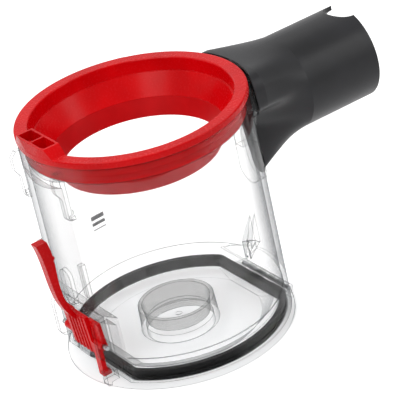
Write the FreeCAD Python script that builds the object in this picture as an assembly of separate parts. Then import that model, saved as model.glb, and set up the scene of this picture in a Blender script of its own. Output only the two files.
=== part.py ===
import FreeCAD, Part
import math
import os

# Cyclone dust bin: a clear bin with a red collar, a grey side inlet, a base lid on a hinge
# and a red catch that holds the lid. Millimetres, +Z up along the bin's axis. The origin is the
# centre of the lid's underside. The inlet points along +X and the catch is on the -X side.

V = FreeCAD.Vector

# Clear bin
bin_outer_radius = 55.5
bin_wall = 2.2
wall_bottom = 2.7
collar_seat = 117.9
seat_relief = 0.4
seal_seat_top = 15.0
panel_half_width = 18.7
panel_ledge_drop = 13.5
panel_ledge_radius = 60.0
recess_inset = 7.9
recess_roof = 35.0
shelf_outer_height = 15.4
shelf_slope = 0.6
run_out = 10.0

# Rails and guards on the flat panel
rail_width = 2.6
rail_depth = 2.7
rail_length = 22.5
rail_top_drop = 1.9
rail_foot_reach = 3.0
rail_foot_height = 2.0
bulge_top_drop = 3.4
bulge_length = 9.0
bulge_depth = 5.2
lower_rail_bottom = 51.0
lower_rail_top = 67.0
lower_rail_depth = 2.2
bead_height = 47.0
bead_radius = 2.4
arm_stop_bottom = 38.5
arm_stop_top = 58.0
arm_stop_half_width = 4.6
arm_stop_depth = 2.0
ear_thickness = 3.0
ear_offset = 18.5
ear_bottom = 13.8
ear_depth = 8.1
ear_corner = 4.0

# Anti-swirl fin on the sloped shelf
fin_top = 39.6
fin_near_foot = 21.0
fin_far_foot = 18.6
fin_edge_angle = 4.4
fin_far_angle = 17.0
fin_nose_reach = 9.4
fin_nose_side = 6.0
fin_nose_height = 11.6
fin_bury = 1.0
fin_wall = 1.3

# Red collar
collar_overhang = 0.5
collar_rim_height = 3.5
collar_rim_gap = 0.2
collar_rim_edge = 0.7
collar_fit = 0.2
spigot_depth = 8.5
mouth_inset = 6.6
mouth_depth = 6.5
mouth_draft = 1.0
mouth_ledge = 0.6
funnel_step = 6.0
funnel_drop = 10.8
funnel_wall = 2.2
collar_seal_height = 2.0
collar_seal_depth = 1.2
collar_seal_drop = 5.6

# Soft wiper below the funnel
wiper_step = 3.5
wiper_drop = 8.5
wiper_wall = 1.6
wiper_lip = 0.8

# Socket block on the collar
block_rise = 4.5
block_half_top = 12.4
block_half_base = 18.2
block_depth = 9.2
block_lean = 0.8
block_wall = 1.1
block_inset = 0.1
block_pocket_depth = 5.6
block_rib_radius = 3.4
block_rib_wall = 0.7
block_rib_height = 2.8

# Side inlet
pipe_radius = 23.8
pipe_wall = 2.2
pipe_axis_drop = 20.9
pipe_length = 40.4
flare_length = 26.5
wand_stop_depth = 33.0
wand_stop_step = 1.0
notch_radius = 9.3
skirt_half_width = 26.5
skirt_corner = 10.0
skirt_shoulder_rise = 10.0
skirt_waist_width = 16.8
skirt_waist_rise = 1.0
skirt_neck_width = 9.6
skirt_neck_drop = 7.0
skirt_tip_width = 5.2
skirt_tip_drop = 17.0
skirt_depth = 40.4
skirt_root_inset = 9.5
skirt_stand_off = 2.5
skirt_points = 60
seat_top_stand_off = 1.5
seat_low_stand_off = 6.0
seat_margin = 2.2
gasket_thickness = 0.8
gasket_inset = 0.7
gasket_gap = 0.1
port_drop = 21.0
port_rise = 10.5

# Base lid
lid_overhang = 1.2
lid_thickness = 2.4
lid_edge = 0.8
plug_gap = 3.1
plug_height = 8.8
pan_inset = 9.7
pan_floor = 1.8
plug_rim = 2.8
pan_flat_inset = 3.6
cup_radius = 19.6
cup_top_radius = 18.9
cup_height = 14.5
cup_wall = 2.0
cup_floor_top = 6.5
cup_floor = 2.0
gate_mark_radius = 1.6
gate_mark_height = 0.2

# Lid seal
seal_bottom = 2.6
seal_top = 8.0
seal_clearance = 0.3
seal_seat_gap = 0.15
seal_corner = 6.0
seal_groove = 0.7
seal_lip = 1.9

# Lid hinge
hinge_stand_off = 4.6
hinge_height = 2.6
hinge_pin_radius = 1.0
hinge_pin_fit = 0.05
knuckle_radius = 2.3
knuckle_length = 8.0
knuckle_count = 5
knuckle_gap = 0.3
hinge_clearance = 0.4

# Release catch: each stand-off is measured from the recess's flat wall
catch_pivot_stand_off = 3.4
catch_pivot_height = 20.0
catch_pin_radius = 1.1
catch_pin_fit = 0.05
catch_barrel_radius = 2.1
catch_side_gap = 0.3
plate_half_width = 9.5
plate_bottom = 14.2
plate_top = 34.3
plate_thickness = 2.4
plate_low_stand_off = 5.3
plate_high_stand_off = 6.8
plate_rib_count = 5
plate_rib_width = 0.8
plate_rib_depth = 0.5
wing_bottom = 21.0
wing_top = 32.5
wing_setback = 2.2
wing_thickness = 2.0
arm_width = 5.0
arm_tip_height = 76.6
arm_tip_stand_off = 18.2
arm_tip_depth = 5.9
arm_grip_height = 64.0
arm_grip_stand_off = 15.9
arm_grip_depth = 4.9
arm_mid_height = 55.5
arm_mid_stand_off = 15.2
arm_mid_depth = 3.9
arm_neck_height = 41.5
arm_neck_stand_off = 12.8
arm_neck_depth = 3.0
arm_heel_height = 36.6
arm_heel_stand_off = 8.0
arm_root_height = 31.0
arm_nub_height = 66.0
arm_nub_length = 1.4
arm_nub_radius = 0.9
leg_near = 9.6
leg_far = 14.2
leg_stand_off = 5.8
leg_depth = 2.4
foot_bottom = 3.1
toe_height = 2.2
toe_grip = 1.1

# Keeper on the lid for the catch's toe
keeper_stand_off = 2.6
keeper_depth = 1.6
keeper_thickness = 2.0
keeper_gap = 0.3
keeper_post_near = 2.0
keeper_post_far = 4.4
keeper_side_gap = 1.4
keeper_block_depth = 6.4

# Catch spring and its pin
spring_wire = 0.8
spring_mean_radius = 2.1
spring_stand_off = 2.95
spring_height = 10.4
spring_low = -2.6
spring_turns = 7
spring_pitch = 1.35
spring_leg_top = 26.5
spring_leg_bend = 2.2
spring_tail_bottom = 6.0
spring_bend_swell = 0.03
spring_pin_radius = 1.2
spring_lug_thickness = 1.5
spring_lug_radius = 2.0
spring_lug_gap = 0.4

# Printed fill-level bars
bar_angle = 94.2
bar_width = 7.6
bar_print = 0.15
bar_gap = 0.03
bar_top = 45.0
bar_pitches = (0.0, 3.7, 7.4)
bar_heights = (2.3, 1.7, 0.5)

# Sizes that follow from the ones above
bin_bore_radius = bin_outer_radius - bin_wall
waist_bore_radius = bin_bore_radius - seat_relief
panel_flat = math.sqrt(bin_outer_radius ** 2 - panel_half_width ** 2)
recess_flat = bin_outer_radius - recess_inset
inner_flat = recess_flat - bin_wall
rail_top = collar_seat - rail_top_drop
rail_bottom = rail_top - rail_length
bulge_top = collar_seat - bulge_top_drop
bulge_bottom = bulge_top - bulge_length
collar_rim_radius = bin_outer_radius + collar_overhang
rim_bottom = collar_seat + collar_rim_gap
rim_top = rim_bottom + collar_rim_height
spigot_bottom = rim_bottom - spigot_depth
panel_ledge_height = collar_seat - panel_ledge_drop
mouth_radius = collar_rim_radius - mouth_inset
groove_height = rim_top - mouth_depth
groove_radius = mouth_radius - mouth_draft - mouth_ledge
funnel_low_radius = groove_radius - funnel_step
funnel_bottom = groove_height - funnel_drop
collar_seal_level = collar_seat - collar_seal_drop
wiper_low_radius = funnel_low_radius - wiper_step
wiper_bottom = funnel_bottom - wiper_drop
block_outer_top = collar_rim_radius - block_lean
block_inner = block_outer_top - block_depth
pipe_axis_height = collar_seat - pipe_axis_drop
pipe_top = pipe_axis_height + pipe_radius
bore_radius = pipe_radius - pipe_wall
skirt_root = bin_outer_radius - skirt_root_inset
skirt_plane = bin_outer_radius + skirt_stand_off
pipe_crease = skirt_plane + flare_length
pipe_mouth = pipe_crease + pipe_length
skirt_shoulder = pipe_axis_height + skirt_shoulder_rise
skirt_waist_height = pipe_axis_height + skirt_waist_rise
skirt_neck_height = pipe_axis_height - skirt_neck_drop
skirt_tip_height = pipe_axis_height - skirt_tip_drop
skirt_tip_bottom = pipe_axis_height - skirt_depth
seat_top_radius = bin_outer_radius + seat_top_stand_off
seat_low_radius = bin_outer_radius + seat_low_stand_off
port_bottom = pipe_axis_height - port_drop
port_top = pipe_axis_height + port_rise
lid_radius = bin_outer_radius + lid_overhang
plug_radius = bin_bore_radius - plug_gap
plug_flat = inner_flat - plug_gap
pan_radius = plug_radius - pan_inset
catch_half_width = ear_offset - ear_thickness / 2 - catch_side_gap
catch_pivot_reach = recess_flat + catch_pivot_stand_off
catch_pivot = V(-catch_pivot_reach, 0, catch_pivot_height)
plate_low_reach = recess_flat + plate_low_stand_off
plate_high_reach = recess_flat + plate_high_stand_off
arm_tip_reach = recess_flat + arm_tip_stand_off
arm_grip_reach = recess_flat + arm_grip_stand_off
arm_mid_reach = recess_flat + arm_mid_stand_off
arm_neck_reach = recess_flat + arm_neck_stand_off
arm_heel_reach = recess_flat + arm_heel_stand_off
leg_outer = recess_flat + leg_stand_off
hinge_reach = recess_flat + hinge_stand_off
hinge_pivot = V(hinge_reach, 0, hinge_height)
hinge_half = knuckle_count * knuckle_length / 2
keeper_reach = recess_flat + keeper_stand_off
keeper_block_reach = keeper_reach - keeper_depth + keeper_block_depth
spring_reach = recess_flat + spring_stand_off
spring_length = spring_turns * spring_pitch
spring_high = spring_low + spring_length


def box(low_x, high_x, low_y, high_y, low_z, high_z):
    size = V(high_x - low_x, high_y - low_y, high_z - low_z)
    return Part.makeBox(size.x, size.y, size.z, V(low_x, low_y, low_z))


def upright(radius, low_z, high_z, centre_x=0.0, centre_y=0.0):
    return Part.makeCylinder(radius, high_z - low_z, V(centre_x, centre_y, low_z))


def across(radius, low_y, high_y, centre_x, centre_z):
    return Part.makeCylinder(radius, high_y - low_y, V(centre_x, low_y, centre_z), V(0, 1, 0))


def side_plate(points, low_y, high_y):
    # A flat plate whose outline is given as (x, z) points.
    corners = [V(x, low_y, z) for x, z in points]
    face = Part.Face(Part.makePolygon(corners + corners[:1]))
    return face.extrude(V(0, high_y - low_y, 0))


def turned(points):
    # A ring turned about the bin's axis from (radius, height) points.
    corners = [V(radius, 0, height) for radius, height in points]
    face = Part.Face(Part.makePolygon(corners + corners[:1]))
    return face.revolve(V(0, 0, 0), V(0, 0, 1), 360)


def flat_sided(radius, flat, low_z, high_z):
    # A disc with two flats that face the catch and the hinge.
    return upright(radius, low_z, high_z).common(box(-flat, flat, -radius, radius, low_z, high_z))


def joined(shapes):
    first = shapes[0]
    return first.fuse(shapes[1:]).removeSplitter()


def upright_edges(shape):
    # The vertical edges of a prism.
    found = []
    for edge in shape.Edges:
        box_of_edge = edge.BoundBox
        if box_of_edge.XLength < 1e-6 and box_of_edge.YLength < 1e-6:
            found.append(edge)
    return found


def circle_edges(shape, radius, height):
    # The full circles of a turned shape at one radius and height.
    found = []
    for edge in shape.Edges:
        round_edge = isinstance(edge.Curve, Part.Circle)
        if round_edge and abs(edge.Curve.Radius - radius) < 1e-4:
            if abs(edge.BoundBox.ZMax - height) < 1e-4 and edge.BoundBox.ZLength < 1e-4:
                found.append(edge)
    return found


# Outline of the inlet's skirt, drawn in the plane across the pipe

def skirt_wire(plane_x, margin):
    # A flat top with round corners, sides that draw in like a tulip, and a round tip.
    top = pipe_top + margin
    half = skirt_half_width + margin
    tip = skirt_tip_width + margin
    corner = skirt_corner + margin
    tip_centre = skirt_tip_bottom + skirt_tip_width

    def at(y, z):
        return V(plane_x, y, z)

    def bend(side):
        slant = math.sqrt(0.5)
        middle = at(side * (half - corner + corner * slant), top - corner + corner * slant)
        ends = (at(side * (half - corner), top), at(side * half, top - corner))
        return Part.Arc(ends[0], middle, ends[1]).toShape()

    def flank(side):
        curve = Part.BSplineCurve()
        stations = [
            at(side * half, skirt_shoulder),
            at(side * (skirt_waist_width + margin), skirt_waist_height),
            at(side * (skirt_neck_width + margin), skirt_neck_height),
            at(side * tip, skirt_tip_height),
        ]
        curve.interpolate(Points=stations, InitialTangent=V(0, 0, -1), FinalTangent=V(0, 0, -1))
        return curve.toShape()

    tip_arc = Part.Arc(at(tip, tip_centre), at(0, tip_centre - tip), at(-tip, tip_centre))
    edges = [
        Part.makeLine(at(0, top), at(half - corner, top)),
        bend(1),
        Part.makeLine(at(half, top - corner), at(half, skirt_shoulder)),
        flank(1),
        Part.makeLine(at(tip, skirt_tip_height), at(tip, tip_centre)),
        tip_arc.toShape(),
        Part.makeLine(at(-tip, tip_centre), at(-tip, skirt_tip_height)),
        flank(-1),
        Part.makeLine(at(-half, skirt_shoulder), at(-half, top - corner)),
        bend(-1),
        Part.makeLine(at(-half + corner, top), at(0, top)),
    ]
    return Part.Wire(Part.__sortEdges__(edges))


def skirt_prism(margin, low_x, high_x):
    return Part.Face(skirt_wire(low_x, margin)).extrude(V(high_x - low_x, 0, 0))


def smooth_ring(points):
    curve = Part.BSplineCurve()
    curve.interpolate(Points=points, PeriodicFlag=True)
    return Part.Wire(curve.toShape())


def skirt_stations(margin):
    # Even steps round the skirt's outline, from the top round by the +Y side.
    outline = skirt_wire(skirt_plane, margin)
    stations = outline.discretize(Number=skirt_points + 1)[:-1]
    start = min(range(skirt_points), key=lambda i: abs(stations[i].y) - stations[i].z)
    stations = stations[start:] + stations[:start]
    if stations[1].y < stations[0].y:
        stations = stations[:1] + stations[:0:-1]
    return stations


def pipe_stations(radius, plane_x):
    turn = 2 * math.pi / skirt_points
    angles = [turn * i for i in range(skirt_points)]
    return [
        V(plane_x, radius * math.sin(angle), pipe_axis_height + radius * math.cos(angle))
        for angle in angles
    ]


def duct_form(margin, radius, root_x, far_x):
    # The skirt's outline drawn out to the round pipe, with the straight root behind it.
    skirt = skirt_stations(margin)
    root = [V(root_x, point.y, point.z) for point in skirt]
    sections = [root, skirt, pipe_stations(radius, pipe_crease), pipe_stations(radius, far_x)]
    return Part.makeLoft([smooth_ring(points) for points in sections], True, True)


def seat_cone(offset):
    # The tapered face, coaxial with the bin, that the inlet sits on.
    slope = (seat_low_radius - seat_top_radius) / (pipe_top - skirt_tip_bottom)
    low_z = skirt_tip_bottom - run_out
    high_z = pipe_top + run_out
    low_radius = seat_low_radius + slope * run_out + offset
    high_radius = seat_top_radius - slope * run_out + offset
    return Part.makeCone(low_radius, high_radius, high_z - low_z, V(0, 0, low_z))


# Clear bin

def shelf_cut(offset_x, drop):
    # The wedge outside the sloped shelf over the hinge, or inside it.
    outer = bin_outer_radius + run_out
    near = recess_flat - offset_x
    rise = shelf_outer_height - drop
    near_height = rise - shelf_slope * (bin_outer_radius - near)
    far_height = rise + shelf_slope * run_out
    outline = [(near, wall_bottom - run_out), (outer, wall_bottom - run_out)]
    outline += [(outer, far_height), (near, near_height)]
    return side_plate(outline, -bin_outer_radius, bin_outer_radius)


def panel_cut(flat, wall):
    # Everything outside the flat panel, up to the curved ledge under the collar.
    reach = bin_outer_radius + run_out
    top = collar_seat
    slab = box(-reach, -flat, -reach, reach, wall_bottom - run_out, top)
    ledge = Part.makeCylinder(panel_ledge_radius - wall, reach,
                              V(-reach, 0, panel_ledge_height + panel_ledge_radius), V(1, 0, 0))
    above = box(-reach, 0, -reach, reach, spigot_bottom - collar_rim_gap, top)
    return slab.cut([ledge, above])


def bin_envelope():
    outside = upright(bin_outer_radius, wall_bottom, collar_seat)
    reach = bin_outer_radius + run_out
    panel = panel_cut(panel_flat, 0.0)
    recess = box(-reach, -recess_flat, -reach, reach, wall_bottom - run_out, recess_roof)
    return outside.cut([panel, recess, shelf_cut(0.0, 0.0)])


def bin_cavity():
    reach = bin_outer_radius + run_out
    low_z = wall_bottom - run_out
    high_z = collar_seat + run_out
    seal_bore = upright(bin_bore_radius, low_z, seal_seat_top)
    waist = upright(waist_bore_radius, low_z, high_z)
    collar_bore = upright(bin_bore_radius, spigot_bottom - collar_rim_gap, high_z)
    cavity = joined([seal_bore, waist, collar_bore])
    panel_back = panel_cut(panel_flat - bin_wall, bin_wall)
    recess_back = box(-reach, -inner_flat, -reach, reach, low_z, recess_roof + bin_wall)
    return cavity.cut([panel_back, recess_back, shelf_cut(bin_wall, -bin_wall * 1.2)])


def inlet_pad():
    pad = skirt_prism(seat_margin, skirt_root, seat_low_radius + run_out)
    pad = pad.common(seat_cone(0.0))
    top_trim = box(0, bin_outer_radius * 2, -bin_outer_radius, bin_outer_radius,
                   collar_seat - collar_rim_gap, pipe_top + run_out)
    return pad.cut([top_trim, upright(bin_bore_radius, 0, pipe_top + run_out)])


def port_prism(low_x, high_x):
    opening = skirt_prism(-pipe_wall, low_x, high_x)
    limits = box(low_x, high_x, -skirt_half_width, skirt_half_width, port_bottom, port_top)
    return opening.common(limits)


def top_rail(side):
    middle = side * panel_half_width
    low_y = middle - rail_width / 2
    high_y = middle + rail_width / 2
    back = panel_flat - bin_wall / 2
    strip = box(-panel_flat - rail_depth, -back, low_y, high_y, rail_bottom, rail_top)
    nose = bulge_depth - rail_depth
    outline = [
        (-back, bulge_bottom - nose), (-panel_flat - rail_depth, bulge_bottom - nose),
        (-panel_flat - bulge_depth, bulge_bottom + nose / 2),
        (-panel_flat - bulge_depth, bulge_top - nose / 2),
        (-panel_flat - rail_depth, bulge_top + nose / 2), (-back, bulge_top + nose / 2),
    ]
    bulge = side_plate(outline, low_y, high_y)
    foot = across(rail_depth, low_y, high_y, -panel_flat, rail_bottom)
    turned_foot = box(-panel_flat - rail_foot_height / 2, -back,
                      min(middle, middle + side * rail_foot_reach),
                      max(middle, middle + side * rail_foot_reach),
                      rail_bottom - rail_foot_height, rail_bottom)
    return joined([strip, bulge, foot, turned_foot])


def lower_rail(side):
    middle = side * panel_half_width
    low_y = middle - rail_width / 2
    high_y = middle + rail_width / 2
    back = panel_flat - bin_wall
    strip = box(-panel_flat - lower_rail_depth, -back, low_y, high_y,
                lower_rail_bottom, lower_rail_top)
    round_foot = across(lower_rail_depth, low_y, high_y, -panel_flat, lower_rail_bottom)
    bead = across(bead_radius, low_y, high_y, -panel_flat, bead_height)
    return [strip, round_foot, bead]


def arm_stop():
    # The raised pad behind the catch's arm, with a round top and foot.
    low_z = arm_stop_bottom + arm_stop_half_width
    high_z = arm_stop_top - arm_stop_half_width
    front = -panel_flat - arm_stop_depth
    length = arm_stop_depth + bin_wall / 2
    slab = box(front, front + length, -arm_stop_half_width, arm_stop_half_width, low_z, high_z)
    ends = [
        Part.makeCylinder(arm_stop_half_width, length, V(front, 0, level), V(1, 0, 0))
        for level in (low_z, high_z)
    ]
    return joined([slab] + ends)


def catch_ear(side):
    middle = side * ear_offset
    front = -recess_flat - ear_depth
    back = bin_wall / 2 - recess_flat
    ear = box(front, back, middle - ear_thickness / 2, middle + ear_thickness / 2,
              ear_bottom, recess_roof + bin_wall / 2)
    front_edges = []
    for edge in ear.Edges:
        limits = edge.BoundBox
        if limits.XLength < 1e-6 and limits.ZLength < 1e-6 and limits.XMax < front + 1e-6:
            front_edges.append(edge)
    return ear.makeFillet(ear_corner, front_edges)


def knuckles(parity):
    # Every second knuckle of the hinge, each with the gap taken off both ends.
    found = []
    for index in range(knuckle_count):
        if index % 2 == parity:
            low_y = -hinge_half + index * knuckle_length + knuckle_gap / 2
            high_y = low_y + knuckle_length - knuckle_gap
            found.append((low_y, high_y))
    return found


def bin_hinge():
    shapes = []
    for low_y, high_y in knuckles(0):
        shapes.append(across(knuckle_radius, low_y, high_y, hinge_reach, hinge_height))
        web_top = hinge_height + knuckle_radius
        shapes.append(box(inner_flat + bin_wall / 2, hinge_reach, low_y, high_y,
                          wall_bottom, web_top))
    return shapes


def fin_form(shift):
    # A three-sided pyramid against the wall, and the prism that its back would sweep outwards.
    radius = waist_bore_radius + fin_bury

    def wall_point(angle, height):
        turn = math.radians(angle)
        return V(radius * math.cos(turn), radius * math.sin(turn), height) + shift

    top = wall_point(fin_edge_angle, fin_top)
    near = wall_point(fin_edge_angle, fin_near_foot)
    far = wall_point(fin_far_angle, fin_far_foot)
    nose = V(bin_outer_radius - fin_nose_reach, fin_nose_side, fin_nose_height) + shift
    corners = [near, far, nose]
    faces = [Part.Face(Part.makePolygon(corners + corners[:1]))]
    for index in range(3):
        start = corners[index]
        end = corners[(index + 1) % 3]
        faces.append(Part.Face(Part.makePolygon([start, end, top, start])))
    pyramid = Part.makeSolid(Part.makeShell(faces))
    back = Part.Face(Part.makePolygon([near, far, top, near]))
    return pyramid, back.extrude(V(run_out, 0, 0))


def fin_pocket():
    # The hollow behind the fin, open to the outside, that leaves a thin skin.
    pyramid, sweep = fin_form(V(fin_wall * 2, 0, -fin_wall / 2))
    return [pyramid, sweep]


def spring_lugs():
    shapes = []
    gap = spring_wire / 2 + spring_lug_gap
    low_end = spring_low - gap - spring_lug_thickness
    for low_y in (low_end, spring_high + gap):
        high_y = low_y + spring_lug_thickness
        shapes.append(across(spring_lug_radius, low_y, high_y, -spring_reach, spring_height))
        shapes.append(box(-spring_reach, bin_wall / 2 - recess_flat, low_y, high_y,
                          spring_height - spring_lug_radius, spring_height + spring_lug_radius))
    return shapes


def spring_pin_ends():
    gap = spring_wire / 2 + spring_lug_gap + spring_lug_thickness
    return spring_low - gap, spring_high + gap


def make_bin_body():
    body = bin_envelope().cut(bin_cavity())
    extras = [inlet_pad(), arm_stop(), fin_form(V(0, 0, 0))[0]]
    extras += bin_hinge()
    extras += spring_lugs()
    for side in (-1, 1):
        extras.append(top_rail(side))
        extras.append(catch_ear(side))
        extras += lower_rail(side)
    body = body.fuse(extras)
    port = port_prism(skirt_root - run_out, seat_low_radius + run_out)
    reach = bin_outer_radius * 2
    catch_bore = across(catch_pin_radius + catch_pin_fit, -reach, reach,
                        catch_pivot.x, catch_pivot.z)
    hinge_bore = across(hinge_pin_radius + hinge_pin_fit, -hinge_half, hinge_half,
                        hinge_pivot.x, hinge_pivot.z)
    pin_ends = spring_pin_ends()
    spring_bore = across(spring_pin_radius, pin_ends[0], pin_ends[1],
                         -spring_reach, spring_height)
    body = body.cut(fin_pocket())
    return body.cut([port, catch_bore, hinge_bore, spring_bore]).removeSplitter()


# Collar, its seal and the wiper

def funnel_offset():
    # How far the funnel's outer face stands off along the radius.
    run = groove_radius - funnel_low_radius
    return funnel_wall * math.hypot(run, funnel_drop) / funnel_drop


def make_bin_collar():
    spigot_radius = bin_bore_radius - collar_fit
    stand_off = funnel_offset()
    slope = (groove_radius - funnel_low_radius) / funnel_drop
    shoulder_radius = groove_radius + stand_off - slope * (groove_height - spigot_bottom)
    profile = [
        (mouth_radius, rim_top), (collar_rim_radius, rim_top),
        (collar_rim_radius, rim_bottom), (spigot_radius, rim_bottom),
        (spigot_radius, spigot_bottom), (shoulder_radius, spigot_bottom),
        (funnel_low_radius + stand_off, funnel_bottom), (funnel_low_radius, funnel_bottom),
        (groove_radius, groove_height), (groove_radius + mouth_ledge, groove_height),
    ]
    ring = turned(profile)
    edges = circle_edges(ring, collar_rim_radius, rim_top)
    edges += circle_edges(ring, collar_rim_radius, rim_bottom)
    edges += circle_edges(ring, mouth_radius, rim_top)
    ring = ring.makeFillet(collar_rim_edge, edges)
    groove = upright(bin_bore_radius, collar_seal_level - collar_seal_height / 2,
                     collar_seal_level + collar_seal_height / 2)
    groove = groove.cut(upright(spigot_radius - collar_seal_depth, 0, rim_top))
    return joined([ring.cut(groove), socket_block()])


def socket_block():
    # A loft from the rim to a smaller top, trimmed to the rim, with two pockets.
    block_top = rim_top + block_rise
    low_z = rim_bottom + collar_rim_height / 2

    def outline(half, inner, outer, level):
        corners = [V(-outer, -half, level), V(-inner, -half, level)]
        corners += [V(-inner, half, level), V(-outer, half, level)]
        return Part.makePolygon(corners + corners[:1])

    base = outline(block_half_base, block_inner, collar_rim_radius, low_z)
    top = outline(block_half_top, block_inner, block_outer_top, block_top)
    block = Part.makeLoft([base, top], True, True)
    block = block.common(upright(collar_rim_radius - block_inset, 0, block_top + run_out))
    skirt = box(-collar_rim_radius, -block_inner, -block_half_top, block_half_top,
                groove_height, low_z)
    skirt = skirt.common(upright(mouth_radius + mouth_ledge, groove_height, low_z))
    pockets = []
    ribs = []
    for side in (-1, 1):
        near = side * block_wall / 2
        far = side * (block_half_top - block_wall)
        low_y = min(near, far)
        high_y = max(near, far)
        floor = block_top - block_pocket_depth
        pockets.append(box(block_wall - block_outer_top, -block_inner - block_wall,
                           low_y, high_y, floor, block_top))
        centre_y = (near + far) / 2
        centre_x = -block_outer_top + block_wall
        arc = upright(block_rib_radius, floor, floor + block_rib_height, centre_x, centre_y)
        arc = arc.cut(upright(block_rib_radius - block_rib_wall, floor,
                              floor + block_rib_height, centre_x, centre_y))
        ribs.append(arc.common(box(centre_x, -block_inner, low_y, high_y, floor, block_top)))
    return joined([block, skirt]).cut(pockets).fuse(ribs)


def make_collar_seal():
    outer = bin_bore_radius - collar_fit / 2
    inner = bin_bore_radius - collar_fit - collar_seal_depth
    low_z = collar_seal_level - collar_seal_height / 2
    high_z = low_z + collar_seal_height
    ring = upright(outer, low_z, high_z)
    return ring.cut(upright(inner, low_z, high_z))


def make_shroud_wiper():
    slope = (funnel_low_radius - wiper_low_radius) / wiper_drop
    outer_top = funnel_low_radius + wiper_wall + slope
    profile = [
        (funnel_low_radius, funnel_bottom), (outer_top, funnel_bottom),
        (wiper_low_radius + wiper_lip, wiper_bottom), (wiper_low_radius, wiper_bottom),
    ]
    return turned(profile)


# Side inlet and its gasket

def make_inlet_duct():
    outside = duct_form(0.0, pipe_radius, skirt_root, pipe_mouth)
    throat_radius = bore_radius - wand_stop_step
    wand_stop = pipe_mouth - wand_stop_depth
    wand_bore = Part.makeCylinder(bore_radius, wand_stop_depth + run_out,
                                  V(wand_stop, 0, pipe_axis_height), V(1, 0, 0))
    hollow = duct_form(-pipe_wall, throat_radius, skirt_root - run_out, wand_stop + run_out)
    notch = upright(notch_radius, pipe_axis_height, pipe_top + run_out, pipe_mouth, 0)
    shell = outside.cut(hollow).cut(wand_bore)
    return shell.cut(seat_cone(gasket_thickness)).cut(notch).removeSplitter()


def make_inlet_gasket():
    ring = skirt_prism(-gasket_inset, skirt_root, seat_low_radius + run_out)
    ring = ring.common(seat_cone(gasket_thickness)).cut(seat_cone(gasket_gap))
    top_trim = box(0, bin_outer_radius * 2, -bin_outer_radius, bin_outer_radius,
                   collar_seat - collar_rim_gap, pipe_top + run_out)
    opening = port_prism(skirt_root - run_out, seat_low_radius + run_out * 2)
    return ring.cut([top_trim, opening])


# Base lid and its seal

def make_base_lid():
    plate = upright(lid_radius, 0, lid_thickness).cut(hinge_clearance_box())
    plate = plate.makeFillet(lid_edge, circle_edges(plate, lid_radius, lid_thickness))
    plug = flat_sided(plug_radius, plug_flat, 0, plug_height)
    cup = Part.makeCone(cup_radius, cup_top_radius, cup_height)
    pan = Part.makeCone(pan_radius, plug_radius - plug_rim, plug_height - pan_floor,
                        V(0, 0, pan_floor))
    pan_flat = plug_flat - pan_flat_inset
    pan = pan.common(box(-pan_flat, pan_flat, -plug_radius, plug_radius, 0, plug_height))
    lid = joined([plate, plug]).cut(pan)
    cup_bore = Part.makeCone(cup_top_radius - cup_wall * 1.5, cup_top_radius - cup_wall,
                             cup_height - cup_floor_top, V(0, 0, cup_floor_top))
    under_cup = upright(cup_top_radius - cup_wall, 0, cup_floor_top - cup_floor)
    lid = lid.fuse(cup).cut([cup_bore, under_cup])
    mark = upright(gate_mark_radius, cup_floor_top, cup_floor_top + gate_mark_height)
    lid = lid.fuse([mark] + lid_keeper())
    for low_y, high_y in knuckles(1):
        knuckle = across(knuckle_radius, low_y, high_y, hinge_reach, hinge_height)
        root = box(recess_flat - hinge_clearance, hinge_reach, low_y, high_y, 0, lid_thickness)
        lid = lid.fuse([knuckle, root])
    bore = across(hinge_pin_radius + hinge_pin_fit, -hinge_half, hinge_half,
                  hinge_reach, hinge_height)
    return lid.cut(bore).removeSplitter()


def hinge_clearance_box():
    # Room in the lid's rim for the bin's knuckles.
    edge = recess_flat - hinge_clearance
    outside = lid_radius + run_out
    half = hinge_half + knuckle_gap
    return box(edge, outside, -half, half, -run_out, lid_thickness + run_out)


def lid_keeper():
    bar_bottom = foot_bottom + toe_height + keeper_gap
    bar_top = bar_bottom + keeper_thickness
    near = -leg_near + keeper_side_gap
    far = -leg_far - keeper_side_gap
    low_y = far - keeper_post_far
    high_y = near + keeper_post_near
    back = keeper_depth - keeper_reach
    return [
        box(-keeper_reach, back, low_y, high_y, bar_bottom, bar_top),
        box(-keeper_reach, back, near, high_y, lid_edge, bar_top),
        box(-keeper_block_reach, back, low_y, far, lid_edge, bar_top),
    ]


def seal_loop(radius, flat, low_z, high_z):
    loop = flat_sided(radius, flat, low_z, high_z)
    return loop.makeFillet(seal_corner, upright_edges(loop))


def make_lid_seal():
    outer_radius = bin_bore_radius - seal_clearance
    outer_flat = inner_flat - seal_clearance
    ring = seal_loop(outer_radius, outer_flat, seal_bottom, seal_top)
    ring = ring.cut(flat_sided(plug_radius + seal_seat_gap, plug_flat + seal_seat_gap,
                               seal_bottom, seal_top))
    low_z = seal_bottom + seal_lip
    high_z = seal_top - seal_lip
    band = seal_loop(outer_radius + seal_lip, outer_flat + seal_lip, low_z, high_z)
    core = seal_loop(outer_radius - seal_groove, outer_flat - seal_groove, low_z, high_z)
    return ring.cut(band.cut(core))


# Release catch, its pins and its spring

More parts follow.
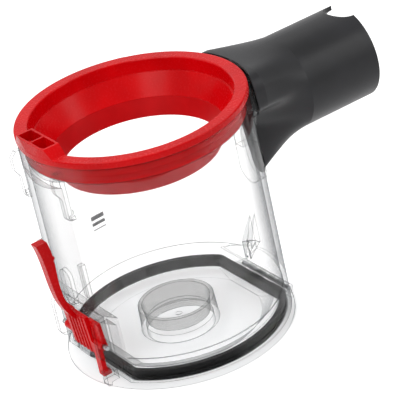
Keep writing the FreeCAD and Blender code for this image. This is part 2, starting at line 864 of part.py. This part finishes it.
def arm_outline():
    root_reach = plate_reach(arm_root_height)
    outer = Part.BSplineCurve()
    outer.interpolate(Points=[
        V(-arm_tip_reach, 0, arm_tip_height),
        V(-arm_grip_reach, 0, arm_grip_height),
        V(-arm_mid_reach, 0, arm_mid_height),
        V(-arm_neck_reach, 0, arm_neck_height),
        V(-root_reach, 0, arm_root_height),
    ])
    inner = Part.BSplineCurve()
    inner.interpolate(Points=[
        V(plate_thickness - root_reach, 0, arm_root_height),
        V(-arm_heel_reach, 0, arm_heel_height),
        V(arm_neck_depth - arm_neck_reach, 0, arm_neck_height),
        V(arm_mid_depth - arm_mid_reach, 0, arm_mid_height),
        V(arm_grip_depth - arm_grip_reach, 0, arm_grip_height),
        V(arm_tip_depth - arm_tip_reach, 0, arm_tip_height),
    ])
    edges = [
        outer.toShape(), Part.makeLine(outer.EndPoint, inner.StartPoint), inner.toShape(),
        Part.makeLine(inner.EndPoint, outer.StartPoint),
    ]
    return Part.Wire(Part.__sortEdges__(edges))


def plate_reach(height):
    # The plate leans out towards its top.
    share = (height - plate_bottom) / (plate_top - plate_bottom)
    return plate_low_reach + share * (plate_high_reach - plate_low_reach)


def plate_slab(low_z, high_z, low_y, high_y, thickness, raised=0.0):
    low = plate_reach(low_z) + raised
    high = plate_reach(high_z) + raised
    outline = [(-low, low_z), (thickness - low, low_z), (thickness - high, high_z)]
    outline.append((-high, high_z))
    return side_plate(outline, low_y, high_y)


def make_release_catch():
    arm = Part.Face(arm_outline()).extrude(V(0, arm_width, 0))
    arm.translate(V(0, -arm_width / 2, 0))
    plate = plate_slab(plate_bottom, plate_top, -plate_half_width, plate_half_width,
                       plate_thickness)
    wings = []
    for low_y, high_y in ((-catch_half_width, wing_thickness - plate_half_width),
                          (plate_half_width - wing_thickness, catch_half_width)):
        wings.append(plate_slab(wing_bottom, wing_top, low_y, high_y, wing_thickness,
                                -wing_setback))
    barrel = across(catch_barrel_radius, -catch_half_width, catch_half_width,
                    catch_pivot.x, catch_pivot.z)
    leg = box(-leg_outer, leg_depth - leg_outer, -leg_far, -leg_near, foot_bottom, wing_bottom)
    toe = box(leg_depth - leg_outer, toe_grip - keeper_reach, -leg_far, -leg_near,
              foot_bottom, foot_bottom + toe_height)
    nub_middle = arm_grip_depth - arm_grip_reach
    nub = Part.makeCylinder(arm_nub_radius, arm_nub_length * 2,
                            V(nub_middle - arm_nub_length, 0, arm_nub_height), V(1, 0, 0))
    shapes = [arm, plate, barrel, leg, toe, nub] + wings
    pitch = 2 * plate_half_width / (plate_rib_count + 1)
    for index in range(plate_rib_count):
        middle = -plate_half_width + pitch * (index + 1)
        top = plate_top if abs(middle) > arm_width / 2 else arm_root_height
        shapes.append(plate_slab(plate_bottom, top, middle - plate_rib_width / 2,
                                 middle + plate_rib_width / 2, plate_thickness,
                                 plate_rib_depth))
    catch = joined(shapes)
    bore = across(catch_pin_radius + catch_pin_fit, -ear_offset, ear_offset,
                  catch_pivot.x, catch_pivot.z)
    return catch.cut(bore).removeSplitter()


def make_catch_pin():
    half = ear_offset + ear_thickness / 2
    return across(catch_pin_radius, -half, half, catch_pivot.x, catch_pivot.z)


def make_hinge_pin():
    return across(hinge_pin_radius, -hinge_half, hinge_half, hinge_pivot.x, hinge_pivot.z)


def make_spring_pin():
    pin_ends = spring_pin_ends()
    return across(spring_pin_radius, pin_ends[0], pin_ends[1], -spring_reach, spring_height)


def make_catch_spring():
    # The coil runs up into the leg that pushes the catch, and down into the tail on the wall.
    helix = Part.makeHelix(spring_pitch, spring_length, spring_mean_radius)
    section = Part.makeCircle(spring_wire / 2, V(spring_mean_radius, 0, 0), V(0, 1, 0))
    coil = Part.Wire(helix.Edges).makePipeShell([Part.Wire(section)], True, True)
    coil.rotate(V(0, 0, 0), V(1, 0, 0), 90)
    coil.translate(V(-spring_reach, spring_high, spring_height))
    leg_x = spring_mean_radius - spring_reach
    leg = upright(spring_wire / 2, spring_height, spring_leg_top, leg_x, spring_low)
    finger = Part.makeCylinder(spring_wire / 2, spring_leg_bend,
                               V(leg_x, spring_low, spring_leg_top), V(-1, 0, 0))
    tail = upright(spring_wire / 2, spring_tail_bottom, spring_height, leg_x, spring_high)
    bends = [
        Part.makeSphere(spring_wire / 2 + spring_bend_swell, V(leg_x, y, z))
        for y, z in ((spring_low, spring_leg_top), (spring_low, spring_height),
                     (spring_high, spring_height))
    ]
    return joined([coil, leg, finger, tail] + bends)


# Printed bars

def make_fill_level_bars():
    bars = []
    half_turn = math.degrees(bar_width / 2 / bin_outer_radius)
    for drop, height in zip(bar_pitches, bar_heights):
        low_z = bar_top - drop - height
        outer = Part.makeCylinder(bin_outer_radius + bar_gap + bar_print, height,
                                  V(0, 0, low_z), V(0, 0, 1), 2 * half_turn)
        bar = outer.cut(upright(bin_outer_radius + bar_gap, low_z, low_z + height))
        bar.rotate(V(0, 0, 0), V(0, 0, 1), bar_angle - half_turn)
        bars.append(bar)
    return Part.makeCompound(bars)


def main():
    os.makedirs("parts", exist_ok=True)
    pieces = {
        "bin_body": make_bin_body(),
        "bin_collar": make_bin_collar(),
        "collar_seal": make_collar_seal(),
        "shroud_wiper": make_shroud_wiper(),
        "inlet_duct": make_inlet_duct(),
        "inlet_gasket": make_inlet_gasket(),
        "base_lid": make_base_lid(),
        "lid_seal": make_lid_seal(),
        "hinge_pin": make_hinge_pin(),
        "release_catch": make_release_catch(),
        "catch_pin": make_catch_pin(),
        "spring_pin": make_spring_pin(),
        "catch_spring": make_catch_spring(),
        "fill_level_bars": make_fill_level_bars(),
    }
    for node, shape in pieces.items():
        shape.exportStep(os.path.join("parts", node + ".step"))
        print(node, "solids", len(shape.Solids), "valid", shape.isValid(),
              "volume", round(shape.Volume, 1))


main()
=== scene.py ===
import math

import bpy
from mathutils import Matrix, Vector


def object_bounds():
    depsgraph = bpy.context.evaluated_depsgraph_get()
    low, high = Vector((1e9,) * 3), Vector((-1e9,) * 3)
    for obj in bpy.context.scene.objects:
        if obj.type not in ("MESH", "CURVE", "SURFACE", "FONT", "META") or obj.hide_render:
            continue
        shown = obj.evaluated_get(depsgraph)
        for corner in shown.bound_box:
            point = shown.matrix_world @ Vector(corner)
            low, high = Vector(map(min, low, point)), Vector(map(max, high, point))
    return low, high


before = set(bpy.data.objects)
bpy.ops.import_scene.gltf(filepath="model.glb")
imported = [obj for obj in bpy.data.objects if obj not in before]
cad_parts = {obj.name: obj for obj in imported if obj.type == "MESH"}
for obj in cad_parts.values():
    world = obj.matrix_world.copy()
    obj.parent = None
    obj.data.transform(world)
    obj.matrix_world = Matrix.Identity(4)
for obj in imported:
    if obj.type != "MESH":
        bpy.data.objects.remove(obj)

bl_info = {
    "name": "Cyclone Dust Bin",
    "version": (1, 0, 0),
    "blender": (4, 5, 0),
    "location": "View3D > Sidebar > Dust Bin",
    "description": "Finishes the clear dust bin, its red collar and catch, its inlet and its lid",
    "category": "Object",
}

CAD_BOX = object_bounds()
MM = 0.001

# Refractive indices of the plastics, the rubber and the ink
POLYCARBONATE_IOR = 1.45
ABS_IOR = 1.54
RUBBER_IOR = 1.52
INK_IOR = 1.5

# Share of white light from all round: on surfaces, and where the backdrop itself is seen
FILL_LIGHT = 0.34
BACKDROP_LIGHT = 1.0
FLOOR_GLOW = 0.5
FLOOR_DROP = 0.2 * MM

# Name, place, aim and size in metres, and power in watts, of each soft light
LAMPS = (
    ("key_softbox", (-0.75, -0.35, 0.95), (0, 0, 0.08), (0.6, 0.6), 6.0),
    ("side_softbox", (0.75, -0.7, 0.6), (0.02, 0, 0.06), (0.35, 0.8), 3.0),
    ("top_softbox", (0.1, 0.5, 1.1), (0, 0, 0.08), (0.8, 0.5), 5.0),
)


# Colours and nodes

def linear(hex_colour, alpha=1.0):
    """An sRGB hex colour as linear red, green, blue and alpha."""
    parts = [int(hex_colour[i:i + 2], 16) / 255 for i in (1, 3, 5)]
    parts = [p / 12.92 if p <= 0.04045 else ((p + 0.055) / 1.055) ** 2.4 for p in parts]
    return (*parts, alpha)


def add_node(tree, kind, settings=None, inputs=None, links=None):
    """Adds one node with its settings, its input values and its links."""
    node = tree.nodes.new(kind)
    for name, value in (settings or {}).items():
        setattr(node, name, value)
    for name, value in (inputs or {}).items():
        node.inputs[name].default_value = value
    for name, socket in (links or {}).items():
        tree.links.new(socket, node.inputs[name])
    return node


def new_material(name):
    material = bpy.data.materials.new(name)
    material.use_nodes = True
    material.node_tree.nodes.clear()
    return material, material.node_tree


def millimetres(tree, size):
    """Object coordinates, scaled so that one unit is the given number of millimetres."""
    place = add_node(tree, "ShaderNodeTexCoord")
    scale = 1.0 / (size * MM)
    return add_node(tree, "ShaderNodeMapping", inputs={"Scale": (scale, scale, scale)},
                    links={"Vector": place.outputs["Object"]})


def noise(tree, size, detail, distortion=0.0):
    """A noise value whose grain is about the given number of millimetres."""
    texture = add_node(tree, "ShaderNodeTexNoise",
                       inputs={"Scale": 1.0, "Detail": detail, "Distortion": distortion},
                       links={"Vector": millimetres(tree, size).outputs[0]})
    return texture.outputs["Fac"]


def two_shades(tree, factor, low, high, low_at=0.0, high_at=1.0):
    """A ramp between two sRGB hex colours, driven by a factor."""
    ramp = add_node(tree, "ShaderNodeValToRGB", links={"Fac": factor})
    first, last = ramp.color_ramp.elements
    first.color = linear(low)
    first.position = low_at
    last.color = linear(high)
    last.position = high_at
    return ramp.outputs["Color"]


def map_range(tree, value, **limits):
    """Maps a value; the limits are named from_min, from_max, to_min and to_max."""
    inputs = {name.replace("_", " ").title(): limit for name, limit in limits.items()}
    node = add_node(tree, "ShaderNodeMapRange", inputs=inputs, links={"Value": value})
    return node.outputs["Result"]


def to_surface(tree, shader):
    add_node(tree, "ShaderNodeOutputMaterial", links={"Surface": shader.outputs[0]})


def set_finish(nodes, material):
    """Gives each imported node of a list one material."""
    for name in nodes:
        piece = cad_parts[name]
        for slot in piece.material_slots:
            slot.material = material
        if not piece.material_slots:
            piece.data.materials.append(material)


# Finishes

def clear_polycarbonate(settings):
    # Injection-moulded polycarbonate, polished in the tool: water-clear seen square on, with the
    # faint flow ripple of a large moulding; painted shade greys the colour where the eye looks
    # along the wall.
    material, tree = new_material("clear_polycarbonate_moulded")
    bump = add_node(tree, "ShaderNodeBump", inputs={"Strength": 0.06, "Distance": 0.3 * MM},
                    links={"Height": noise(tree, settings.ripple, detail=1.0)})
    rim = add_node(tree, "ShaderNodeLayerWeight", inputs={"Blend": 0.32}).outputs["Facing"]
    # Painted shade: towards grazing angles the colour is ramped from near-white to grey.
    clear_to_painted_grey = two_shades(tree, rim, settings.face_colour, settings.grazing_shade_colour,
                      low_at=0.4, high_at=0.92)
    # The small radius on each moulded corner bends light away; a grey line of painted shade along
    # each corner stands in for it.
    corner = add_node(tree, "ShaderNodeBevel", settings={"samples": 4},
                      inputs={"Radius": settings.corner_radius * MM})
    surface = add_node(tree, "ShaderNodeNewGeometry")
    bend = add_node(tree, "ShaderNodeVectorMath", settings={"operation": "DOT_PRODUCT"},
                    links={0: corner.outputs[0], 1: surface.outputs["Normal"]})
    line = map_range(tree, bend.outputs["Value"], from_min=0.78, from_max=0.98,
                     to_min=1.0, to_max=0.0)
    shade = add_node(tree, "ShaderNodeMixRGB", inputs={"Color2": linear(settings.corner_shade_colour)},
                     links={"Fac": line, "Color1": clear_to_painted_grey}).outputs["Color"]
    wall = add_node(tree, "ShaderNodeBsdfPrincipled",
                    inputs={"Roughness": 0.03, "IOR": POLYCARBONATE_IOR,
                            "Transmission Weight": 1.0, "Specular IOR Level": 0.8},
                    links={"Base Color": shade, "Normal": bump.outputs["Normal"]})
    # A thin wall hardly bends what is seen through it, least of all square on.
    straight = add_node(tree, "ShaderNodeBsdfTransparent", links={"Color": shade})
    share = map_range(tree, rim, from_min=0.45, from_max=0.95, to_min=settings.see_through,
                      to_max=settings.see_through * 0.82)
    thin = add_node(tree, "ShaderNodeMixShader",
                    links={"Fac": share, 1: wall.outputs[0], 2: straight.outputs[0]})
    light = add_node(tree, "ShaderNodeLightPath")
    through = add_node(tree, "ShaderNodeBsdfTransparent",
                       inputs={"Color": linear(settings.shade_colour)})
    to_surface(tree, add_node(tree, "ShaderNodeMixShader", links={
        "Fac": light.outputs["Is Shadow Ray"], 1: thin.outputs[0], 2: through.outputs[0]}))
    return material


def moulded_plastic(name, low, high, roughness, grain, depth, gloss_level, edge):
    # Solid-coloured ABS. Two close shades drift across the moulding, a fine grain breaks the
    # highlights, and small radii catch a thin line of light on each edge.
    material, tree = new_material(name)
    shade = two_shades(tree, noise(tree, 24.0, detail=2.0), low, high,
                       low_at=0.35, high_at=0.65)
    pits = noise(tree, grain, detail=3.0)
    gloss = map_range(tree, pits, from_min=0.3, from_max=0.7, to_min=roughness * 0.85,
                      to_max=roughness * 1.15)
    corner = add_node(tree, "ShaderNodeBevel", settings={"samples": 6},
                      inputs={"Radius": edge * MM})
    bump = add_node(tree, "ShaderNodeBump", inputs={"Strength": 0.5, "Distance": depth * MM},
                    links={"Height": pits, "Normal": corner.outputs[0]})
    to_surface(tree, add_node(tree, "ShaderNodeBsdfPrincipled",
                              inputs={"IOR": ABS_IOR, "Specular IOR Level": gloss_level},
                              links={"Base Color": shade, "Roughness": gloss,
                                     "Normal": bump.outputs["Normal"]}))
    return material


def moulded_rubber(name, low, high, roughness):
    # Compression-moulded rubber: matt, with a dusty bloom in patches and a soft sheen.
    material, tree = new_material(name)
    shade = two_shades(tree, noise(tree, 9.0, detail=4.0), low, high,
                       low_at=0.4, high_at=0.75)
    bump = add_node(tree, "ShaderNodeBump", inputs={"Strength": 0.4, "Distance": 0.05 * MM},
                    links={"Height": noise(tree, 0.6, detail=2.0)})
    to_surface(tree, add_node(tree, "ShaderNodeBsdfPrincipled",
                              inputs={"Roughness": roughness, "IOR": RUBBER_IOR,
                                      "Specular IOR Level": 0.12, "Sheen Weight": 0.01,
                                      "Sheen Roughness": 0.5},
                              links={"Base Color": shade, "Normal": bump.outputs["Normal"]}))
    return material


def drawn_steel(settings):
    # Stainless spring wire and pins, drawn through a die: bright, with fine scratches along it.
    material, tree = new_material("stainless_steel_drawn")
    scratch = noise(tree, 0.5, detail=4.0, distortion=0.3)
    to_surface(tree, add_node(tree, "ShaderNodeBsdfPrincipled", inputs={"Metallic": 1.0}, links={
        "Base Color": two_shades(tree, scratch, settings.steel_low, settings.steel_high),
        "Roughness": map_range(tree, scratch, to_min=0.18, to_max=0.38)}))
    return material


def screen_ink(settings):
    # Grey pad-printed ink: matt, slightly thinner in places so that the shade breaks up.
    material, tree = new_material("pad_printed_ink")
    cover = noise(tree, 0.8, detail=3.0)
    to_surface(tree, add_node(tree, "ShaderNodeBsdfPrincipled",
                              inputs={"Roughness": 0.55, "IOR": INK_IOR},
                              links={"Base Color": two_shades(tree, cover, settings.ink_dark,
                                                              settings.ink_light)}))
    return material


# Settings

class ClearPlasticSettings(bpy.types.PropertyGroup):
    face_colour: bpy.props.StringProperty(
        name="Face colour", description="Tint seen square on", default="#FCFCFC")
    # Painted shade: the grey painted into the wall where it is seen along the wall.
    grazing_shade_colour: bpy.props.StringProperty(
        name="Edge colour", description="Tint seen along the wall", default="#96999C")
    # Painted shade: the grey painted along the moulded corners of the clear walls.
    corner_shade_colour: bpy.props.StringProperty(
        name="Line colour", description="Grey that the moulded corners show",
        default="#3C4043")
    corner_radius: bpy.props.FloatProperty(
        name="Corner radius", description="Radius on the moulded corners in millimetres",
        default=0.75, min=0.05)
    shade_colour: bpy.props.StringProperty(
        name="Shade colour", description="What the wall takes from light", default="#EDEFF0")
    see_through: bpy.props.FloatProperty(
        name="See-through", description="Share of the view that the thin wall doesn't bend",
        default=0.96, min=0.0, max=1.0)
    ripple: bpy.props.FloatProperty(
        name="Ripple", description="Length of the flow ripple in millimetres",
        default=14.0, min=1.0)


class ColouredPlasticSettings(bpy.types.PropertyGroup):
    red_low: bpy.props.StringProperty(
        name="Red, deep", description="Deeper red of the collar and catch", default="#C80006")
    red_high: bpy.props.StringProperty(
        name="Red, bright", description="Brighter red of the collar and catch",
        default="#DA0008")
    grey_low: bpy.props.StringProperty(
        name="Grey, deep", description="Deeper grey of the inlet", default="#1B1B1D")
    grey_high: bpy.props.StringProperty(
        name="Grey, light", description="Lighter grey of the inlet", default="#242427")
    ink_dark: bpy.props.StringProperty(
        name="Ink, dark", description="Darker shade of the printed bars", default="#8C8D8F")
    ink_light: bpy.props.StringProperty(
        name="Ink, light", description="Lighter shade of the printed bars", default="#9C9D9F")


class RubberAndSteelSettings(bpy.types.PropertyGroup):
    black_low: bpy.props.StringProperty(
        name="Black rubber, deep", description="Deeper shade of the seals", default="#060606")
    black_high: bpy.props.StringProperty(
        name="Black rubber, bloom", description="Bloom on the seals", default="#0E0E0F")
    wiper_low: bpy.props.StringProperty(
        name="Red rubber, deep", description="Deeper shade of the wiper", default="#BC0208")
    wiper_high: bpy.props.StringProperty(
        name="Red rubber, bloom", description="Bloom on the wiper", default="#C8060E")
    steel_low: bpy.props.StringProperty(
        name="Steel, dark", description="Darker steel in the scratches", default="#8F9295")
    steel_high: bpy.props.StringProperty(
        name="Steel, bright", description="Bright steel", default="#D2D4D6")


class StageSettings(bpy.types.PropertyGroup):
    floor_size: bpy.props.FloatProperty(
        name="Floor size", description="Side of the square floor", default=14.0,
        unit="LENGTH")
    floor_colour: bpy.props.StringProperty(
        name="Floor colour", description="Colour of the floor", default="#F4F4F4")
    azimuth: bpy.props.FloatProperty(
        name="Azimuth", description="Camera's turn round the bin, in degrees", default=-28.0)
    elevation: bpy.props.FloatProperty(
        name="Elevation", description="Camera's height, in degrees", default=27.53)
    roll: bpy.props.FloatProperty(
        name="Roll", description="Lean of the picture, in degrees", default=12.7)
    camera_place: bpy.props.FloatVectorProperty(
        name="Camera place", description="Where the camera stands", size=3,
        default=(-0.4775, -0.9453, 0.6166), subtype="TRANSLATION")
    lens: bpy.props.FloatProperty(
        name="Lens", description="Focal length in millimetres", default=225.0)


# Operators

class DUSTBIN_OT_clear_walls(bpy.types.Operator):
    """Finish the bin and its lid in clear polycarbonate"""
    bl_idname = "dustbin.clear_walls"
    bl_label = "Clear Walls"

    def execute(self, context):
        settings = context.scene.dustbin_clear
        set_finish(["bin_body", "base_lid"], clear_polycarbonate(settings))
        return {"FINISHED"}


class DUSTBIN_OT_red_parts(bpy.types.Operator):
    """Finish the collar and the catch in gloss red plastic"""
    bl_idname = "dustbin.red_parts"
    bl_label = "Red Parts"

    def execute(self, context):
        settings = context.scene.dustbin_coloured
        red = moulded_plastic("red_abs_gloss_moulded", settings.red_low, settings.red_high,
                              roughness=0.26, grain=1.1, depth=0.001, gloss_level=0.1,
                              edge=0.35)
        set_finish(["bin_collar", "release_catch"], red)
        return {"FINISHED"}


class DUSTBIN_OT_inlet(bpy.types.Operator):
    """Finish the inlet in satin dark grey plastic with a fine spark-eroded grain"""
    bl_idname = "dustbin.inlet"
    bl_label = "Inlet"

    def execute(self, context):
        settings = context.scene.dustbin_coloured
        grey = moulded_plastic("dark_grey_abs_spark_eroded", settings.grey_low,
                               settings.grey_high, roughness=0.36, grain=0.5, depth=0.02,
                               gloss_level=0.22, edge=0.4)
        set_finish(["inlet_duct"], grey)
        return {"FINISHED"}


class DUSTBIN_OT_rubber(bpy.types.Operator):
    """Finish the seals in black rubber and the wiper in red rubber"""
    bl_idname = "dustbin.rubber"
    bl_label = "Rubber"

    def execute(self, context):
        settings = context.scene.dustbin_rubber_steel
        black = moulded_rubber("black_epdm_rubber", settings.black_low,
                               settings.black_high, 0.5)
        red = moulded_rubber("red_elastomer_moulded", settings.wiper_low,
                             settings.wiper_high, 0.45)
        set_finish(["inlet_gasket", "lid_seal"], black)
        set_finish(["collar_seal", "shroud_wiper"], red)
        return {"FINISHED"}


class DUSTBIN_OT_steel(bpy.types.Operator):
    """Finish the spring and the pins in drawn stainless steel"""
    bl_idname = "dustbin.steel"
    bl_label = "Steel"

    def execute(self, context):
        steel = drawn_steel(context.scene.dustbin_rubber_steel)
        set_finish(["hinge_pin", "catch_pin", "spring_pin", "catch_spring"], steel)
        return {"FINISHED"}


class DUSTBIN_OT_level_bars(bpy.types.Operator):
    """Finish the printed fill-level bars in grey ink"""
    bl_idname = "dustbin.level_bars"
    bl_label = "Fill-Level Bars"

    def execute(self, context):
        set_finish(["fill_level_bars"], screen_ink(context.scene.dustbin_coloured))
        return {"FINISHED"}


class DUSTBIN_OT_stage(bpy.types.Operator):
    """Make the floor, the studio light and the camera"""
    bl_idname = "dustbin.stage"
    bl_label = "Stage"

    def execute(self, context):
        settings = context.scene.dustbin_stage
        make_floor(settings)
        make_world(context.scene)
        for name, place, aim, size, power in LAMPS:
            make_lamp(name, place, aim, size, power)
        make_camera(context.scene, settings)
        context.scene.view_settings.view_transform = "Standard"
        return {"FINISHED"}


def seen_directly(tree):
    """A value of 1 for rays from the camera, mirror reflections and clear plastic."""
    path = add_node(tree, "ShaderNodeLightPath")
    first = add_node(tree, "ShaderNodeMath", settings={"operation": "MAXIMUM"}, links={
        0: path.outputs["Is Camera Ray"], 1: path.outputs["Is Glossy Ray"]})
    both = add_node(tree, "ShaderNodeMath", settings={"operation": "MAXIMUM"}, links={
        0: first.outputs[0], 1: path.outputs["Is Transmission Ray"]})
    return both.outputs[0]


def make_floor(settings):
    half = settings.floor_size / 2
    level = CAD_BOX[0][2] - FLOOR_DROP
    mesh = bpy.data.meshes.new("floor")
    corners = [(-half, -half, level), (half, -half, level), (half, half, level),
               (-half, half, level)]
    mesh.from_pydata(corners, [], [(0, 1, 2, 3)])
    floor = bpy.data.objects.new("floor", mesh)
    bpy.context.collection.objects.link(floor)
    material, tree = new_material("pale_studio_floor")
    paint = add_node(tree, "ShaderNodeBsdfDiffuse",
                     inputs={"Color": linear(settings.floor_colour)})
    glow = add_node(tree, "ShaderNodeEmission", inputs={"Color": (1, 1, 1, 1)})
    amount = add_node(tree, "ShaderNodeMath", settings={"operation": "MULTIPLY"},
                      inputs={1: FLOOR_GLOW}, links={0: seen_directly(tree)})
    tree.links.new(amount.outputs[0], glow.inputs["Strength"])
    to_surface(tree, add_node(tree, "ShaderNodeAddShader",
                              links={0: paint.outputs[0], 1: glow.outputs[0]}))
    mesh.materials.append(material)


def make_world(scene):
    world = bpy.data.worlds.new("studio")
    world.use_nodes = True
    tree = world.node_tree
    tree.nodes.clear()
    strength = map_range(tree, seen_directly(tree), to_min=FILL_LIGHT, to_max=BACKDROP_LIGHT)
    light = add_node(tree, "ShaderNodeBackground", inputs={"Color": (1, 1, 1, 1)},
                     links={"Strength": strength})
    add_node(tree, "ShaderNodeOutputWorld", links={"Surface": light.outputs[0]})
    scene.world = world


def make_lamp(name, place, aim, size, power):
    lamp = bpy.data.lights.new(name, "AREA")
    lamp.shape = "RECTANGLE"
    lamp.size = size[0]
    lamp.size_y = size[1]
    lamp.energy = power
    holder = bpy.data.objects.new(name, lamp)
    holder.location = place
    facing = Vector(aim) - Vector(place)
    holder.rotation_euler = facing.to_track_quat("-Z", "Y").to_euler()
    bpy.context.collection.objects.link(holder)


def make_camera(scene, settings):
    azimuth, elevation, roll = (math.radians(angle) for angle in
                                (settings.azimuth, settings.elevation, settings.roll))
    level = Vector((math.cos(azimuth), math.sin(azimuth), 0))
    back = Vector((math.sin(azimuth) * math.cos(elevation),
                   -math.cos(azimuth) * math.cos(elevation), math.sin(elevation)))
    upward = back.cross(level)
    right = level * math.cos(roll) - upward * math.sin(roll)
    top = level * math.sin(roll) + upward * math.cos(roll)
    turn = Matrix((right, top, back)).transposed().to_4x4()
    lens = bpy.data.cameras.new("camera")
    lens.lens = settings.lens
    lens.sensor_width = 36.0
    lens.clip_end = 50.0
    camera = bpy.data.objects.new("camera", lens)
    camera.matrix_world = Matrix.Translation(Vector(settings.camera_place)) @ turn
    bpy.context.collection.objects.link(camera)
    scene.camera = camera


class DUSTBIN_PT_panel(bpy.types.Panel):
    """Lists the dust bin's steps"""
    bl_label = "Dust Bin"
    bl_idname = "DUSTBIN_PT_panel"
    bl_space_type = "VIEW_3D"
    bl_region_type = "UI"
    bl_category = "Dust Bin"

    def draw(self, context):
        column = self.layout.column(align=True)
        for operator in STEPS:
            column.operator(operator.bl_idname)


SETTINGS = {
    "dustbin_clear": ClearPlasticSettings,
    "dustbin_coloured": ColouredPlasticSettings,
    "dustbin_rubber_steel": RubberAndSteelSettings,
    "dustbin_stage": StageSettings,
}
STEPS = (
    DUSTBIN_OT_clear_walls, DUSTBIN_OT_red_parts, DUSTBIN_OT_inlet, DUSTBIN_OT_rubber,
    DUSTBIN_OT_steel, DUSTBIN_OT_level_bars, DUSTBIN_OT_stage,
)


def register():
    for name, group in SETTINGS.items():
        bpy.utils.register_class(group)
        setattr(bpy.types.Scene, name, bpy.props.PointerProperty(type=group))
    for kind in STEPS + (DUSTBIN_PT_panel,):
        bpy.utils.register_class(kind)


def unregister():
    for kind in reversed(STEPS + (DUSTBIN_PT_panel,)):
        bpy.utils.unregister_class(kind)
    for name, group in SETTINGS.items():
        delattr(bpy.types.Scene, name)
        bpy.utils.unregister_class(group)


def main():
    register()
    for operator in STEPS:
        group, name = operator.bl_idname.split(".")
        getattr(getattr(bpy.ops, group), name)()


if __name__ == "__main__":
    main()
